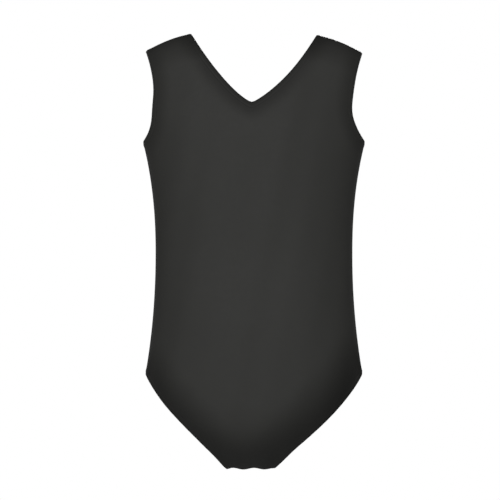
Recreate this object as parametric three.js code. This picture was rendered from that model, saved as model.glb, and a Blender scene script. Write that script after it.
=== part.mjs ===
// A child's sleeveless V-neck gymnastics leotard, hanging as it does on a wearer or a hanger.
// Millimetres, +Z up. The front faces -Y and the wearer's left side is +X.
// The origin is where the shoulders carry it: on the centre line, level with the top of the shoulder seams.

import * as THREE from 'three';

// ---- Driving dimensions: the outline, as half widths from the centre line and depths below the origin ----
const BODY_LENGTH = 600; // top of the shoulder seams down to the crotch seam
const NECK_HALF = 86.5; // centre line to the neck end of a shoulder seam
const SHOULDER_HALF = 149; // centre line to the armhole end of a shoulder seam
const SHOULDER_DROP = 24.5; // fall of a shoulder seam towards the armhole
const SHOULDER_BOW = 3.2; // how far the shoulder seam bows up from a straight line
const FRONT_NECK_DEPTH = 95; // bottom of the V at the front
const BACK_NECK_DEPTH = 132; // bottom of the scoop at the back
const ARMHOLE_HALF = 136.5; // half width at the narrowest place between the armholes
const ARMHOLE_DEPTH = 92; // depth of that narrowest place
const CHEST_HALF = 152.5; // half width at the underarm corners
const UNDERARM_DEPTH = 150;
const WAIST_HALF = 135;
const WAIST_DEPTH = 305;
const HIP_HALF = 149; // half width at the corners where the leg openings start
const HIP_DEPTH = 470;
const CROTCH_HALF = 34; // half width of the crotch seam
const LEG_BOW = 8.6; // how far a leg line bows out from straight

// ---- How full the body hangs: front and back depths from the side seams, by depth below the origin ----
const FRONT_FULLNESS = [[0, 38], [60, 43], [140, 47], [300, 40], [400, 45], [470, 46], [BODY_LENGTH, 42]];
const BACK_FULLNESS = [[0, 38], [80, 43], [150, 40], [300, 29], [380, 43], [450, 55], [BODY_LENGTH, 45]];
const SIDE_ROUNDNESS = 2.2; // power of the body's oval section across the width, 2 is an ellipse
const SHOULDER_ROLL = 42; // how far down the rounding over a shoulder seam reaches
const CROTCH_ROLL = 90; // how far up the rounding under the crotch reaches
const SHOULDER_SPREAD = 172; // half width of the oval that the fabric follows at shoulder height
const CROTCH_SPREAD = 60; // half width of that oval at the crotch seam

// ---- Materials' thicknesses and trims ----
const FABRIC = 1.2; // knit shell
const GAP = 0.75; // between two layers that lie on each other
const SEAM_GAP = 0.3; // between the front and back panel along a seam
const ELASTIC_WIDTH = 7;
const EDGE_INSET = 0.7; // elastic and hem, back from the very edge
const ELASTIC_THICK = 0.6;
const HEM_WIDTH = 8.5; // turned edge that covers the elastic
const HEM_THICK = 0.8;
const MITRE_REACH = 2 * HEM_WIDTH; // how far along an edge a trim turns towards the seam at its end
const STITCH_INSET = 6; // hem stitching, from the edge to the near side of the row
const STITCH_WIDTH = 1.4;
const THREAD = 0.35; // how proud the thread stands
const ALLOWANCE = 6; // overlocked seam allowance, how far it reaches inwards
const ALLOWANCE_THICK = 1.6;
const TAPE_WIDTH = 5; // clear stay tape in a shoulder seam
const TAPE_THICK = 0.5;
const LINING = 0.8; // gusset lining
const GUSSET_LENGTH = 105; // crotch seam up to its free edge, on the inside of the front
const GUSSET_TOP_HALF = 46;
const GUSSET_STITCH_INSET = 4; // from the free edge to the far side of its stitching
const LABEL_WIDTH = 28;
const LABEL_LENGTH = 36;
const LABEL_THICK = 0.5;
const LABEL_STITCH_HEIGHT = 1.6;

// ---- How finely the surfaces are divided ----
const PANEL_HALF_COLUMNS = 15;
const NECK_COLUMNS = 10; // of those, the ones that end on the neckline
const SIDE_ROWS = 9;
const CROTCH_STEP = 2.7; // first row's height above the crotch seam
const SHOULDER_STEP = 1.9; // last row's height below the shoulder seam
const EDGE_STEP = 1.3; // first and last step of a trim along its edge
const CORNER_STEP = 4.5; // depth that a trim's steps climb where it leaves a seam
const SEAM_STEPS = 10;
const NUDGE = 1e-3; // step for slopes, in millimetres

const FRONT = -1;
const BACK = 1;
const QUARTER_TURN = Math.PI / 2;

const mix = (a, b, t) => a + (b - a) * t;
const clamp01 = (t) => Math.min(1, Math.max(0, t));
const easeBothEnds = (t) => (1 - Math.cos(Math.PI * t)) / 2; // even steps become short ones at 0 and at 1
const stepsFor = (length, endStep) => Math.ceil(Math.PI / Math.acos(1 - (2 * endStep) / length));

const LEG_ROWS = stepsFor(BODY_LENGTH - HIP_DEPTH, CROTCH_STEP);
const ARM_ROWS = stepsFor(UNDERARM_DEPTH, SHOULDER_STEP);

// ---------------------------------------------------------------- outline

// Half width of the fabric at a height: armhole above the underarm, side seam to the hip, leg line below.
function halfWidth(z) {
  const depth = -z;
  if (depth <= ARMHOLE_DEPTH) {
    const share = (ARMHOLE_DEPTH - depth) / (ARMHOLE_DEPTH - SHOULDER_DROP);
    return mix(ARMHOLE_HALF, SHOULDER_HALF, share ** 2);
  }
  if (depth <= UNDERARM_DEPTH) {
    return mix(ARMHOLE_HALF, CHEST_HALF, ((depth - ARMHOLE_DEPTH) / (UNDERARM_DEPTH - ARMHOLE_DEPTH)) ** 2.9);
  }
  if (depth <= WAIST_DEPTH) {
    return mix(WAIST_HALF, CHEST_HALF, ((WAIST_DEPTH - depth) / (WAIST_DEPTH - UNDERARM_DEPTH)) ** 2.25);
  }
  if (depth <= HIP_DEPTH) {
    return mix(WAIST_HALF, HIP_HALF, ((depth - WAIST_DEPTH) / (HIP_DEPTH - WAIST_DEPTH)) ** 2.05);
  }
  const down = clamp01((depth - HIP_DEPTH) / (BODY_LENGTH - HIP_DEPTH));
  const bow = (27 / 4) * down * (1 - down) ** 2; // highest, 1, a third of the way down
  return mix(HIP_HALF, CROTCH_HALF, down) + LEG_BOW * bow;
}

// Height of the shoulder line: a gentle bow between its two ends, running on straight inside the neck.
function shoulderLine(x) {
  const out = (Math.abs(x) - NECK_HALF) / (SHOULDER_HALF - NECK_HALF);
  const bow = out > 0 ? out * (1 - out) : out;
  return -SHOULDER_DROP * out + 4 * SHOULDER_BOW * bow;
}

// Right half of a neckline, t from the shoulder (0) to the centre line (1).
function frontNeck(t) {
  const [bendX, bendZ] = [0.562 * NECK_HALF, -0.719 * FRONT_NECK_DEPTH];
  const x = (1 - t) ** 2 * NECK_HALF + 2 * t * (1 - t) * bendX;
  return [x, 2 * t * (1 - t) * bendZ - t ** 2 * FRONT_NECK_DEPTH];
}

function backNeck(t) {
  const angle = t * QUARTER_TURN;
  return [NECK_HALF * Math.cos(angle) ** 0.9, -BACK_NECK_DEPTH * Math.sin(angle)];
}

const outlineBetween = (high, low) => (t) => [halfWidth(mix(high, low, t)), mix(high, low, t)];
const armEdge = outlineBetween(-SHOULDER_DROP, -UNDERARM_DEPTH);
const legEdge = outlineBetween(-HIP_DEPTH, -BODY_LENGTH);

// ---------------------------------------------------------------- the body's surface

// Smooth curve through [depth, value] pairs, for the fullness of the front and the back.
function fullnessCurve(pairs) {
  const slopes = pairs.map((_, i) => {
    const [a, b] = [pairs[Math.max(0, i - 1)], pairs[Math.min(pairs.length - 1, i + 1)]];
    return (b[1] - a[1]) / (b[0] - a[0]);
  });
  return (z) => {
    const depth = Math.min(pairs.at(-1)[0], Math.max(0, -z));
    const i = Math.max(0, pairs.findIndex(([d]) => d >= depth) - 1);
    const [[d0, v0], [d1, v1]] = [pairs[i], pairs[i + 1]];
    const span = d1 - d0;
    const t = (depth - d0) / span;
    return (2 * t ** 3 - 3 * t ** 2 + 1) * v0 + (t ** 3 - 2 * t ** 2 + t) * span * slopes[i]
      + (3 * t ** 2 - 2 * t ** 3) * v1 + (t ** 3 - t ** 2) * span * slopes[i + 1];
  };
}

const fullness = { [FRONT]: fullnessCurve(FRONT_FULLNESS), [BACK]: fullnessCurve(BACK_FULLNESS) };

// How much the side seam widens per millimetre down, at its two ends.
const sideSlope = (high, low) => (halfWidth(-low) - halfWidth(-high)) / (low - high);
const underarmSlope = sideSlope(UNDERARM_DEPTH + NUDGE, UNDERARM_DEPTH + 2 * NUDGE);
const hipSlope = sideSlope(HIP_DEPTH - 2 * NUDGE, HIP_DEPTH - NUDGE);

// Half width of the oval that the fabric follows. It runs on past the armholes and the leg lines, without a kink.
function ovalHalf(z) {
  const depth = -z;
  if (depth < UNDERARM_DEPTH) {
    const up = 1 - depth / UNDERARM_DEPTH;
    const rise = -underarmSlope * UNDERARM_DEPTH;
    return CHEST_HALF + rise * up + (SHOULDER_SPREAD - CHEST_HALF - rise) * up ** 2;
  }
  if (depth <= HIP_DEPTH) return halfWidth(z);
  const down = clamp01((depth - HIP_DEPTH) / (BODY_LENGTH - HIP_DEPTH));
  const runOn = hipSlope * (depth - HIP_DEPTH) * (1 - down) ** 2;
  return mix(CROTCH_SPREAD, HIP_HALF, Math.sqrt(1 - down ** 2)) + runOn;
}

const rolled = (distance, reach) => 1 - (1 - clamp01(distance / reach)) ** 2;

// The square of the surface's depth: an oval across, rolled to nothing at the shoulder and crotch seams.
function depthSquared(x, z, side) {
  const oval = 1 - (Math.abs(x) / ovalHalf(z)) ** SIDE_ROUNDNESS;
  const roll = rolled(shoulderLine(x) - z, SHOULDER_ROLL) * rolled(z + BODY_LENGTH, CROTCH_ROLL);
  return Math.max(0, fullness[side](z) ** 2 * oval * roll);
}

// Point of the surface over (x, z), sunk inwards along the surface's own normal. It never crosses the seam plane.
function onBody(x, z, side, sunk = 0, seamGap = 0) {
  const square = depthSquared(x, z, side);
  const depth = square < 1e-6 ? 0 : Math.sqrt(square);
  const inside = (value, limit) => (Math.abs(value) > limit ? Math.sign(value) * limit : value);
  const [x0, x1] = [inside(x - NUDGE, ovalHalf(z)), inside(x + NUDGE, ovalHalf(z))];
  const top = shoulderLine(x);
  const [z0, z1] = [Math.max(-BODY_LENGTH, z - NUDGE), Math.min(top, z + NUDGE)];
  const slopeX = (depthSquared(x1, z, side) - depthSquared(x0, z, side)) / (x1 - x0);
  const slopeZ = (depthSquared(x, z1, side) - depthSquared(x, z0, side)) / (z1 - z0);
  const normal = new THREE.Vector3(-slopeX, side * 2 * depth, -slopeZ).normalize();
  const point = new THREE.Vector3(x, side * depth, z).addScaledVector(normal, -sunk);
  point.y += side * seamGap / 2;
  if (point.y * side < seamGap / 2) point.y = side * seamGap / 2;
  return point;
}

// ---------------------------------------------------------------- closed solids from points

function signedVolume(points, faces) {
  const cross = new THREE.Vector3();
  return faces.reduce((sum, [a, b, c]) => sum + points[a].dot(cross.crossVectors(points[b], points[c])), 0) / 6;
}

function solid(points, faces) {
  const turned = signedVolume(points, faces) < 0 ? faces.map(([a, b, c]) => [a, c, b]) : faces;
  const geometry = new THREE.BufferGeometry();
  geometry.setAttribute('position', new THREE.Float32BufferAttribute(points.flatMap((p) => p.toArray()), 3));
  geometry.setIndex(turned.flat());
  geometry.computeVertexNormals();
  return geometry;
}

// A wall over a grid of rows: one skin, the other skin, and a rim all round.
function wall(outerRows, innerRows) {
  const [rows, columns] = [outerRows.length, outerRows[0].length];
  const points = [...outerRows.flat(), ...innerRows.flat()];
  const outer = (r, c) => r * columns + c;
  const inner = (r, c) => rows * columns + outer(r, c);
  const faces = [];
  const quad = (a, b, c, d) => faces.push([a, b, c], [a, c, d]);
  for (let r = 0; r < rows - 1; r++) {
    for (let c = 0; c < columns - 1; c++) {
      quad(outer(r, c), outer(r, c + 1), outer(r + 1, c + 1), outer(r + 1, c));
      quad(inner(r, c), inner(r + 1, c), inner(r + 1, c + 1), inner(r, c + 1));
    }
    quad(outer(r, 0), outer(r + 1, 0), inner(r + 1, 0), inner(r, 0));
    quad(outer(r + 1, columns - 1), outer(r, columns - 1), inner(r, columns - 1), inner(r + 1, columns - 1));
  }
  for (let c = 0; c < columns - 1; c++) {
    quad(outer(0, c + 1), outer(0, c), inner(0, c), inner(0, c + 1));
    quad(outer(rows - 1, c), outer(rows - 1, c + 1), inner(rows - 1, c + 1), inner(rows - 1, c));
  }
  return solid(points, faces);
}

// A strip through sections that each go once round. It closes on itself, or is capped at both ends.
function strip(sections, closed) {
  const around = sections[0].length;
  const points = sections.flat();
  const faces = [];
  for (let s = 0; s < sections.length - (closed ? 0 : 1); s++) {
    const next = (s + 1) % sections.length;
    for (let k = 0; k < around; k++) {
      const [a, b] = [s * around + k, s * around + ((k + 1) % around)];
      const [c, d] = [next * around + ((k + 1) % around), next * around + k];
      faces.push([a, b, c], [a, c, d]);
    }
  }
  const last = (sections.length - 1) * around;
  for (let k = 1; !closed && k < around - 1; k++) {
    faces.push([0, k + 1, k], [last, last + k, last + k + 1]);
  }
  return solid(points, faces);
}

// ---------------------------------------------------------------- the two panels

// Where a column of the panel's grid ends at the top: on the neckline, or on the shoulder line outside it.
function topOfColumn(column, neck) {
  const out = Math.abs(column);
  if (out <= NECK_COLUMNS) return neck((1 - out / NECK_COLUMNS) ** 2); // closest together near the shoulder
  const share = (out - NECK_COLUMNS) / (PANEL_HALF_COLUMNS - NECK_COLUMNS);
  const x = mix(NECK_HALF, SHOULDER_HALF, share);
  return [x, shoulderLine(x)];
}

// (x, z) of the grid: columns spread from side to side, rows from the crotch seam up to the neck and shoulders.
function panelPoint(row, column, neck) {
  const across = Math.sin((QUARTER_TURN * column) / PANEL_HALF_COLUMNS);
  if (row <= LEG_ROWS) {
    const z = mix(-BODY_LENGTH, -HIP_DEPTH, easeBothEnds(row / LEG_ROWS));
    return [across * halfWidth(z), z];
  }
  if (row <= LEG_ROWS + SIDE_ROWS) {
    const z = mix(-HIP_DEPTH, -UNDERARM_DEPTH, easeBothEnds((row - LEG_ROWS) / SIDE_ROWS));
    return [across * halfWidth(z), z];
  }
  const up = easeBothEnds((row - LEG_ROWS - SIDE_ROWS) / ARM_ROWS);
  const [topX, topZ] = topOfColumn(column, neck);
  const z = mix(-UNDERARM_DEPTH, topZ, up);
  const topAcross = (Math.sign(column) * topX) / halfWidth(topZ);
  return [mix(across, topAcross, up) * halfWidth(z), z];
}

function panel(side, neck) {
  const skin = (sunk) => {
    const rows = [];
    for (let row = 0; row <= LEG_ROWS + SIDE_ROWS + ARM_ROWS; row++) {
      const line = [];
      for (let column = -PANEL_HALF_COLUMNS; column <= PANEL_HALF_COLUMNS; column++) {
        const [x, z] = panelPoint(row, column, neck);
        line.push(onBody(x, z, side, sunk, SEAM_GAP));
      }
      rows.push(line);
    }
    return rows;
  };
  return wall(skin(0), skin(FABRIC));
}

// ---------------------------------------------------------------- trims that follow an edge

const directionOf = ([fromX, fromZ], [toX, toZ]) => new THREE.Vector2(toX - fromX, toZ - fromZ).normalize();
const distanceBetween = ([x0, z0], [x1, z1]) => Math.hypot(x1 - x0, z1 - z0);

// Stations along an edge. Each turns a distance from the edge, measured over the fabric, into (x, z).
// The distance runs square to the edge. Near an end it turns until, at the end, it runs along the seam that the
// edge meets, so the trims mitre there.
function stationsAlong(edge, startSeam, endSeam) {
  const edgeDirection = (t) => directionOf(edge(Math.max(0, t - NUDGE)), edge(Math.min(1, t + NUDGE)));
  const fabricSide = Math.sign(edgeDirection(0).cross(directionOf(startSeam(0), startSeam(1))));
  const mitreOf = (seam, t) => {
    const run = directionOf(seam(0), seam(HEM_WIDTH));
    return run.multiplyScalar(1 / Math.abs(edgeDirection(t).cross(run)));
  };
  const [startMitre, endMitre] = [mitreOf(startSeam, 0), mitreOf(endSeam, 1)];
  const seamShare = (point, seamEnd) => clamp01(1 - distanceBetween(point, seamEnd) / MITRE_REACH);
  const inner = (t) => {
    const point = edge(t);
    const along = edgeDirection(t);
    const across = new THREE.Vector2(-along.y, along.x).multiplyScalar(fabricSide);
    across.lerp(startMitre, seamShare(point, edge(0))).lerp(endMitre, seamShare(point, edge(1)));
    return (distance) => [point[0] + across.x * distance, point[1] + across.y * distance];
  };
  const steps = stepsFor(distanceBetween(edge(0), edge(1)), EDGE_STEP);
  const stations = Array.from({ length: steps - 1 }, (_, i) => inner(easeBothEnds((i + 1) / steps)));
  const start = (distance) => startSeam(distance * startMitre.length());
  const end = (distance) => endSeam(distance * endMitre.length());
  return [start, ...corner(start, stations[0]), ...stations, ...corner(end, stations.at(-1)).reverse(), end];
}

// Stations between a seam and the first one past it. They crowd at the seam, where the surface turns fastest.
function corner(seam, first) {
  const climb = Math.max(...[FRONT, BACK].map((side) => Math.sqrt(depthSquared(...first(HEM_WIDTH), side))));
  const steps = Math.ceil(climb / CORNER_STEP);
  const between = [];
  for (let i = 1; i < steps; i++) {
    const share = (i / steps) ** 2;
    between.push((distance) => seam(distance).map((value, axis) => mix(value, first(distance)[axis], share)));
  }
  return between;
}

const alongShoulderIn = (d) => [SHOULDER_HALF - d, shoulderLine(SHOULDER_HALF - d)];
const alongShoulderOut = (d) => [NECK_HALF + d, shoulderLine(NECK_HALF + d)];
const downSide = (d) => [halfWidth(-UNDERARM_DEPTH - d), -UNDERARM_DEPTH - d];
const upSide = (d) => [halfWidth(-HIP_DEPTH + d), -HIP_DEPTH + d];
const alongCrotch = (d) => [CROTCH_HALF - d, -BODY_LENGTH];
const downFrom = (depth) => (d) => [0, -depth - d];

const mirrored = (station) => (d) => {
  const [x, z] = station(d);
  return [-x, z];
};
const onSide = (stations, side) => stations.map((at) => ({ at, side }));

const frontNeckHalf = stationsAlong(frontNeck, alongShoulderOut, downFrom(FRONT_NECK_DEPTH));
const backNeckHalf = stationsAlong(backNeck, alongShoulderOut, downFrom(BACK_NECK_DEPTH));
const armHalf = stationsAlong(armEdge, alongShoulderIn, downSide);
const legHalf = stationsAlong(legEdge, upSide, alongCrotch);

// The neck: from the left shoulder round the front to the right shoulder, and back round the back.
const acrossNeck = (half) => [...half, ...half.slice(0, -1).reverse().map(mirrored)];
const neckLoop = [
  ...onSide(acrossNeck(frontNeckHalf), FRONT),
  ...onSide(acrossNeck(backNeckHalf).reverse().slice(1, -1), BACK),
];

// An armhole or a leg opening: down the front edge and back up the back edge.
const openingLoop = (half) => [...onSide(half, FRONT), ...onSide(half.slice(1, -1).reverse(), BACK)];
const turnedOver = (loop) => loop.map(({ at, side }) => ({ at: mirrored(at), side }));
const armLoop = openingLoop(armHalf);
const legLoop = openingLoop(legHalf);

// A flat band that follows a loop: from near to far across the fabric, from outer to inner through its thickness.
function band(loop, near, far, outer, inner, columns) {
  const distances = Array.from({ length: columns + 1 }, (_, i) => mix(near, far, i / columns));
  const section = ({ at, side }) => [
    ...distances.map((distance) => onBody(...at(distance), side, outer)),
    ...distances.toReversed().map((distance) => onBody(...at(distance), side, inner)),
  ];
  return strip(loop.map(section), true);
}

const INSIDE_AT = FABRIC + GAP; // how deep a layer on the inside of the shell starts
const ELASTIC_INSIDE = INSIDE_AT + ELASTIC_THICK;
const HEM_AT = ELASTIC_INSIDE + GAP;
const HEM_INSIDE = HEM_AT + HEM_THICK;
const THREAD_AT = -GAP - THREAD;

const elastic = (loop) => band(loop, EDGE_INSET, ELASTIC_WIDTH, INSIDE_AT, ELASTIC_INSIDE, 2);
const hem = (loop) => band(loop, EDGE_INSET, HEM_WIDTH, HEM_AT, HEM_INSIDE, 2);
const stitching = (loop) => band(loop, STITCH_INSET, STITCH_INSET + STITCH_WIDTH, THREAD_AT, -GAP, 1);

// ---------------------------------------------------------------- seams, gusset and label

// A fin that stands inwards from a seam. seamPoint gives the seam, inwards the way that the fin reaches.
function fin(seamPoint, inwards, from, reach, yLow, yHigh) {
  const to = from + reach;
  const sections = [];
  for (let i = 0; i <= SEAM_STEPS; i++) {
    const [x, z] = seamPoint(i / SEAM_STEPS);
    const pointAt = (d, y) => new THREE.Vector3(x + inwards[0] * d, y, z + inwards[1] * d);
    sections.push([pointAt(from, yLow), pointAt(to, yLow), pointAt(to, yHigh), pointAt(from, yHigh)]);
  }
  return strip(sections, false);
}

const halfFin = ALLOWANCE_THICK / 2;

// Where the trims end along each seam, with the gap that the seam allowances keep to them.
const trimEnds = (station, axis) => (
  [INSIDE_AT, HEM_INSIDE].map((sunk) => onBody(...station(HEM_WIDTH), FRONT, sunk)[axis])
);
const underarmEnd = Math.min(...trimEnds(armHalf.at(-1), 'z')) - GAP;
const hipEnd = Math.max(...trimEnds(legHalf[0], 'z')) + GAP;
const shoulderInnerEnd = Math.max(...trimEnds(frontNeckHalf[0], 'x')) + GAP;
const shoulderOuterEnd = Math.min(...trimEnds(armHalf[0], 'x')) - GAP;
const crotchEnd = Math.min(...trimEnds(legHalf.at(-1), 'x')) - GAP;

function sideSeam(sign) {
  const seam = (t) => [sign * halfWidth(mix(underarmEnd, hipEnd, t)), mix(underarmEnd, hipEnd, t)];
  return fin(seam, [-sign, 0], INSIDE_AT, ALLOWANCE, -halfFin, halfFin);
}

function shoulderFin(sign, inset, from, reach, yLow, yHigh) {
  const along = (t) => mix(shoulderInnerEnd + inset, shoulderOuterEnd - inset, t);
  return fin((t) => [sign * along(t), shoulderLine(along(t))], [0, -1], from, reach, yLow, yHigh);
}

const shoulderSeam = (sign) => shoulderFin(sign, 0, INSIDE_AT, ALLOWANCE, -halfFin, halfFin);

function shoulderTape(sign) {
  const [from, yLow] = [INSIDE_AT + ALLOWANCE - TAPE_WIDTH, halfFin + SEAM_GAP];
  return shoulderFin(sign, GAP, from, TAPE_WIDTH, yLow, yLow + TAPE_THICK);
}

function crotchSeam() {
  const seam = (t) => [mix(-crotchEnd, crotchEnd, t), -BODY_LENGTH];
  return fin(seam, [0, 1], INSIDE_AT, ALLOWANCE, -halfFin, halfFin);
}

// Half width of the gusset: it stays between the leg hems, and no wider than its cut.
const gussetHalf = (z) => Math.min(GUSSET_TOP_HALF, halfWidth(z) - CROTCH_HALF + crotchEnd);
const GUSSET_ROWS = 12;
const GUSSET_COLUMNS = 8;
const GUSSET_START = 0.4; // above the crotch seam, where the lining's lower edge clears the seam's allowance

function gussetSkin(sunk, low, high, rows) {
  const lines = [];
  for (let row = 0; row <= rows; row++) {
    const z = -BODY_LENGTH + mix(low, high, 1 - Math.cos((QUARTER_TURN * row) / rows));
    const line = [];
    for (let column = 0; column <= GUSSET_COLUMNS; column++) {
      const x = mix(-1, 1, column / GUSSET_COLUMNS) * gussetHalf(z);
      line.push(onBody(x, z, FRONT, sunk));
    }
    lines.push(line);
  }
  return lines;
}

function gusset() {
  const skin = (sunk) => gussetSkin(sunk, GUSSET_START, GUSSET_LENGTH, GUSSET_ROWS);
  return wall(skin(INSIDE_AT), skin(INSIDE_AT + LINING));
}

function gussetStitching() {
  const at = INSIDE_AT + LINING + GAP;
  const low = GUSSET_LENGTH - GUSSET_STITCH_INSET;
  const skin = (sunk) => gussetSkin(sunk, low, low + STITCH_WIDTH, 1);
  return wall(skin(at), skin(at + THREAD));
}

// The label hangs straight down from the middle of the back neck hem, clear of the back panel behind it.
const labelTop = -BACK_NECK_DEPTH - HEM_WIDTH - GAP;
const backInside = (z, sunk) => onBody(0, z, BACK, sunk).y;
const labelBack = Math.min(
  backInside(labelTop, HEM_INSIDE),
  backInside(labelTop, INSIDE_AT),
  backInside(labelTop - LABEL_LENGTH, INSIDE_AT),
);

function labelPiece() {
  const geometry = new THREE.BoxGeometry(LABEL_WIDTH, LABEL_THICK, LABEL_LENGTH);
  return geometry.translate(0, labelBack - LABEL_THICK / 2, labelTop - LABEL_LENGTH / 2);
}

function labelStitching() {
  const z = labelTop + GAP + LABEL_STITCH_HEIGHT / 2;
  const y = backInside(z + LABEL_STITCH_HEIGHT / 2, HEM_INSIDE + GAP) - THREAD / 2;
  return new THREE.BoxGeometry(LABEL_WIDTH, THREAD, LABEL_STITCH_HEIGHT).translate(0, y, z);
}

// ---------------------------------------------------------------- the assembly

const finish = (color, roughness) => ({ color, roughness, metalness: 0 });
const SHELL = finish(0x3a3a38, 0.62);
const LINING_FINISH = finish(0x2e2e2d, 0.8);
const ELASTIC = finish(0x1c1c1c, 0.7);
const THREAD_FINISH = finish(0x262626, 0.75);
const TAPE = finish(0xc9c9c4, 0.35);
const LABEL = finish(0xe6e4de, 0.7);

const leotard = new THREE.Group();

function add(name, geometry, look) {
  const mesh = new THREE.Mesh(geometry, new THREE.MeshStandardMaterial({ ...look, flatShading: false }));
  mesh.name = name;
  leotard.add(mesh);
}

add('front_panel', panel(FRONT, frontNeck), SHELL);
add('back_panel', panel(BACK, backNeck), SHELL);

const EDGES = {
  neck: neckLoop,
  left_armhole: armLoop,
  right_armhole: turnedOver(armLoop),
  left_leg: legLoop,
  right_leg: turnedOver(legLoop),
};
for (const [name, loop] of Object.entries(EDGES)) {
  add(`${name}_elastic`, elastic(loop), ELASTIC);
  add(`${name}_hem`, hem(loop), SHELL);
  add(`${name}_stitching`, stitching(loop), THREAD_FINISH);
}

for (const [name, sign] of [['left', 1], ['right', -1]]) {
  add(`${name}_side_seam`, sideSeam(sign), SHELL);
  add(`${name}_shoulder_seam`, shoulderSeam(sign), SHELL);
  add(`${name}_shoulder_tape`, shoulderTape(sign), TAPE);
}

add('crotch_seam', crotchSeam(), SHELL);
add('crotch_gusset', gusset(), LINING_FINISH);
add('gusset_stitching', gussetStitching(), THREAD_FINISH);
add('care_label', labelPiece(), LABEL);
add('label_stitching', labelStitching(), THREAD_FINISH);

export default leotard;
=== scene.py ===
import math

import bpy
import numpy as np
from bpy.props import FloatProperty, FloatVectorProperty, IntProperty, PointerProperty
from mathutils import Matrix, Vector


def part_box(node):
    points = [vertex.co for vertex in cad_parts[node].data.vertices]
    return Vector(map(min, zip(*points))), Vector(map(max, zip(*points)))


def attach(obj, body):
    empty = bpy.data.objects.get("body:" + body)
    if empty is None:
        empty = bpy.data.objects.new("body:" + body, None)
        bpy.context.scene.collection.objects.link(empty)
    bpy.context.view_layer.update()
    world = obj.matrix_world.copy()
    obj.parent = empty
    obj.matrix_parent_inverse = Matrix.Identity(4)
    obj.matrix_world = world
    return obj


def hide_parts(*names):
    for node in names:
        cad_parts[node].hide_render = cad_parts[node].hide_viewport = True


bl_info = {
    "name": "Gymnastics leotard",
    "blender": (4, 5, 0),
    "version": (1, 0, 0),
    "location": "3D View > Sidebar > Leotard",
    "description": "Sews the visible cloth, hems, seams and label of a gymnastics leotard",
    "category": "Object",
}

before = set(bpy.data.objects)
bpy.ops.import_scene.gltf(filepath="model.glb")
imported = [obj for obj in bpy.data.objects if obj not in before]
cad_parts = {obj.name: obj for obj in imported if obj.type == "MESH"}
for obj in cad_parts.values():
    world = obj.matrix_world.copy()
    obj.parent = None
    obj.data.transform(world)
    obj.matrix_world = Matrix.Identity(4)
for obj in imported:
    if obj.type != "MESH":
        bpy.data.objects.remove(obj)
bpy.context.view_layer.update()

FRONT, BACK = -1.0, 1.0

# Lengths in metres.
STEP = 1e-6  # for slopes of the body's surface
CORNER_STEP = 1e-5  # for slopes of the outline at its corners
CLOSEST = 0.00012  # least distance of the cloth from the seam plane
WAVE_FADE = 0.012  # depth at which the waves have half their height
SEAM_FADE = (0.003, 0.026)  # depths between which an elastic's pull comes in
BAND_END = (-0.001, 0.0008)  # where the hem's rise ends, from the hem's inner line
GROOVE_SPREAD = 0.0011  # half width of the groove of the hem stitching
GATHER_END = (0.004, 0.014)  # distances between which the gathers fade out
HIGHEST = -0.03  # height from which the shoulders' drop is full
SAG_REACH = 0.046  # how far from the point of the V its sag reaches
ROUND_REACH = 0.012  # the same for its rounding
LEAN_AT, LEAN_REACH = 0.108, 0.024  # depth of the armholes' lean, and how far it reaches up and down
LEAN_FROM = (0.07, 0.12)  # half widths between which that lean comes in
WAVE_REACH = 0.014  # how far up the crotch's waves reach
WAVE_CREST = 0.0207  # how far a high point of them lies to the wearer's right of the crotch's middle
SINK = 0.001  # how far under a thread's line the place lies that tells which way is down
SATIN = 0.00022  # thickness of the label's satin

# Shares.
EDGE_STEP = 1e-5  # of an edge's run, for its direction
GROOVE_INSIDE = 0.4  # of the groove's depth that shows on the inside
STITCH_HALF = 0.4  # of a stitch's length, from its middle to an end
ON_NECK = 0.64  # of a panel's columns that end on the neckline

# Depth of the body's front and back from the side seams, by depth below the shoulders, in metres.
FRONT_FULLNESS = (
    (0, 0.038), (0.06, 0.043), (0.14, 0.047), (0.3, 0.04), (0.4, 0.045), (0.47, 0.046), (0.6, 0.042),
)
BACK_FULLNESS = (
    (0, 0.038), (0.08, 0.043), (0.15, 0.04), (0.3, 0.029), (0.38, 0.043), (0.45, 0.055), (0.6, 0.045),
)
# Soft waves of the hanging cloth: height, length across, length down, start.
FRONT_WAVES = (
    (0.00050, 0.125, 0.90, 0.4),
    (0.00035, -0.070, 0.31, 1.9),
    (0.00040, 0.60, 0.135, 0.8),
    (0.00022, 0.045, -0.22, 4.1),
)
BACK_WAVES = (
    (0.00055, -0.115, 0.80, 2.2),
    (0.00040, 0.080, 0.26, 0.5),
    (0.00050, 0.55, 0.115, 3.0),
    (0.00025, -0.050, 0.20, 1.1),
)


# ---------------------------------------------------------------- sizes and colours


def length(name, description, default):
    """A length in metres that a user can change."""
    return FloatProperty(name=name, description=description, default=default, unit="LENGTH", precision=5)


def colour(name, description, default):
    """A colour that a user can change."""
    return FloatVectorProperty(
        name=name, description=description, default=default, subtype="COLOR", size=3, min=0, max=1
    )


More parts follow.
